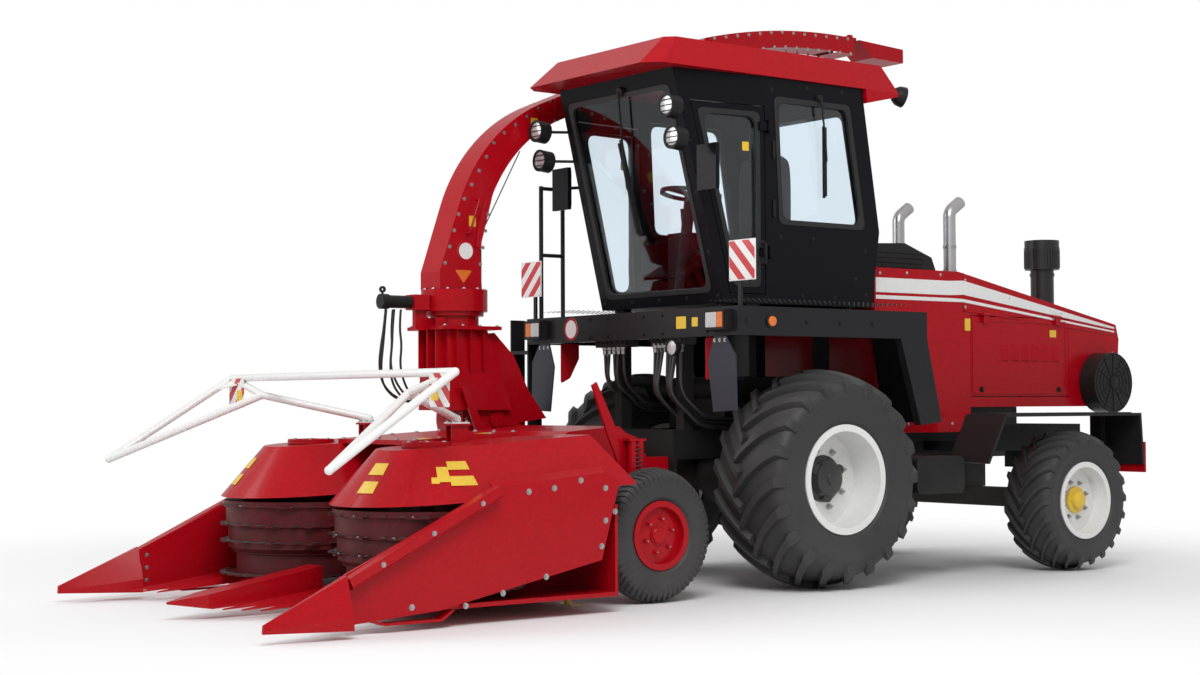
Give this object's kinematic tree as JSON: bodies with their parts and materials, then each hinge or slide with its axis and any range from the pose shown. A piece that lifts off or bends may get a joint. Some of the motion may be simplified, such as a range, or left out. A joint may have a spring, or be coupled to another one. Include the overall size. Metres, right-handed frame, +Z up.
{
  "type": "forage harvester",
  "caption": "Self-propelled forage harvester with a rotary maize header, gauge wheels, cab, tall curved discharge spout and rear engine bonnet.",
  "frame": {"origin": "on the ground under the middle of the machine's bounding box", "axes": "-Y forward, +X to the machine's left, +Z up"},
  "size_m": [2.9319, 7.94, 4.247],
  "materials": {
    "red": "gloss",
    "black": "satin",
    "white": "satin",
    "yellow": "gloss",
    "steel": "brushed",
    "iron": "rough",
    "tyre": "matt",
    "rubber": "matt",
    "plastic": "matt",
    "glass": "clear",
    "fabric": "woven"
  },
  "bodies": {
    "machine": {"air_intake": "plastic", "body_shell": "red", "cab_controls": "plastic", "cab_frame": "black", "cab_glass": "glass", "cab_roof": "red", "chassis_frame": "black", "chopper_housing": "red", "drive_axle": "iron", "engine_block": "iron", "engine_grille": "black", "exhaust_pipes": "steel", "fuel_tank": "plastic", "gauge_carrier": "red", "hydraulic_unit": "black", "ladder_and_rails": "black", "lamps": "plastic", "mirrors": "plastic", "motor_hoses": "rubber", "mud_flaps": "rubber", "platform": "black", "rear_axle": "iron", "rear_fenders": "black", "rear_plates": "red", "seat_cushion": "fabric", "spout_base": "red", "turning_motor": "black", "warning_boards": "white"},
    "spout": {"spout": "red", "spout_cylinder": "black"},
    "spout_flap": {"spout_flap": "red"},
    "header": {"header_frame": "red", "header_hoods": "red", "dividers": "red", "guide_bar": "white", "stalk_lifters": "red"},
    "left_rotor": {"left_rotor": "red"},
    "right_rotor": {"right_rotor": "red"},
    "parking_stand": {"parking_stand": "yellow"},
    "screen_drum": {"screen_drum": "black"},
    "left_drive_wheel": {"left_drive_rim": "white", "left_drive_tyre": "tyre"},
    "left_rear_wheel": {"left_rear_rim": "white", "left_rear_tyre": "tyre"},
    "left_gauge_wheel": {"left_gauge_rim": "red", "left_gauge_tyre": "tyre"},
    "left_knuckle": {"left_knuckle": "iron"},
    "left_door": {"left_door": "plastic", "left_door_glass": "glass"},
    "left_side_hatch": {"left_side_hatch": "red"},
    "right_drive_wheel": {"right_drive_rim": "white", "right_drive_tyre": "tyre"},
    "right_rear_wheel": {"right_rear_rim": "white", "right_rear_tyre": "tyre"},
    "right_gauge_wheel": {"right_gauge_rim": "red", "right_gauge_tyre": "tyre"},
    "right_knuckle": {"right_knuckle": "iron"},
    "right_door": {"right_door": "plastic", "right_door_glass": "glass"},
    "right_side_hatch": {"right_side_hatch": "red"}
  },
  "joints": [
    {"name": "left_drive_wheel_spin", "type": "hinge", "parent": "machine", "child": "left_drive_wheel", "pos_m": [0.925, 0.37, 0.73], "axis": [1, 0, 0], "continuous": true},
    {"name": "left_steer", "type": "hinge", "parent": "machine", "child": "left_knuckle", "pos_m": [0.76, 2.77, 0.515], "axis": [0, 0, 1], "range_deg": [-27, 27]},
    {"name": "left_rear_wheel_spin", "type": "hinge", "parent": "left_knuckle", "child": "left_rear_wheel", "pos_m": [1.05, 2.77, 0.515], "axis": [1, 0, 0], "continuous": true},
    {"name": "left_gauge_wheel_spin", "type": "hinge", "parent": "machine", "child": "left_gauge_wheel", "pos_m": [0.96, -1.07, 0.419], "axis": [1, 0, 0], "continuous": true},
    {"name": "left_door_hinge", "type": "hinge", "parent": "machine", "child": "left_door", "pos_m": [0.726, 0.15, 2.7], "axis": [0, 0, 1], "range_deg": [0, 85]},
    {"name": "left_side_hatch_hinge", "type": "hinge", "parent": "machine", "child": "left_side_hatch", "pos_m": [0.64, 2.795, 1.888], "axis": [0, -1, 0], "range_deg": [0, 85]},
    {"name": "left_rotor_spin", "type": "hinge", "parent": "header", "child": "left_rotor", "pos_m": [0.703, -2.553, 0.4], "axis": [0, 0, 1], "continuous": true},
    {"name": "right_drive_wheel_spin", "type": "hinge", "parent": "machine", "child": "right_drive_wheel", "pos_m": [-0.925, 0.37, 0.73], "axis": [1, 0, 0], "continuous": true},
    {"name": "right_steer", "type": "hinge", "parent": "machine", "child": "right_knuckle", "pos_m": [-0.76, 2.77, 0.515], "axis": [0, 0, 1], "range_deg": [-27, 27]},
    {"name": "right_rear_wheel_spin", "type": "hinge", "parent": "right_knuckle", "child": "right_rear_wheel", "pos_m": [-1.05, 2.77, 0.515], "axis": [1, 0, 0], "continuous": true},
    {"name": "right_gauge_wheel_spin", "type": "hinge", "parent": "machine", "child": "right_gauge_wheel", "pos_m": [-0.96, -1.07, 0.419], "axis": [1, 0, 0], "continuous": true},
    {"name": "right_door_hinge", "type": "hinge", "parent": "machine", "child": "right_door", "pos_m": [-0.726, 0.15, 2.7], "axis": [0, 0, -1], "range_deg": [0, 85]},
    {"name": "right_side_hatch_hinge", "type": "hinge", "parent": "machine", "child": "right_side_hatch", "pos_m": [-0.64, 2.795, 1.888], "axis": [0, 1, 0], "range_deg": [0, 85]},
    {"name": "right_rotor_spin", "type": "hinge", "parent": "header", "child": "right_rotor", "pos_m": [-0.703, -2.553, 0.4], "axis": [0, 0, 1], "continuous": true},
    {"name": "screen_drum_spin", "type": "hinge", "parent": "machine", "child": "screen_drum", "pos_m": [0.69, 3.708, 1.383], "axis": [1, 0, 0], "continuous": true},
    {"name": "spout_turn", "type": "hinge", "parent": "machine", "child": "spout", "pos_m": [-0.98, -1.277, 1.95], "axis": [0, 0, 1], "range_deg": [0, 190]},
    {"name": "spout_flap_tilt", "type": "hinge", "parent": "spout", "child": "spout_flap", "pos_m": [-0.98, 2.535, 4.232], "axis": [-1, 0, 0], "range_deg": [0, 45]},
    {"name": "header_lift", "type": "hinge", "parent": "machine", "child": "header", "pos_m": [0, -1.59, 0.9], "axis": [-1, 0, 0], "range_deg": [0, 10]},
    {"name": "parking_stand_slide", "type": "slide", "parent": "header", "child": "parking_stand", "axis": [0, 0, 1], "range_m": [0, 0.2]}
  ],
  "couplings": [
    {"joint": "right_steer", "follows": "left_steer", "ratio": 1},
    {"joint": "right_rotor_spin", "follows": "left_rotor_spin", "ratio": -1}
  ]
}
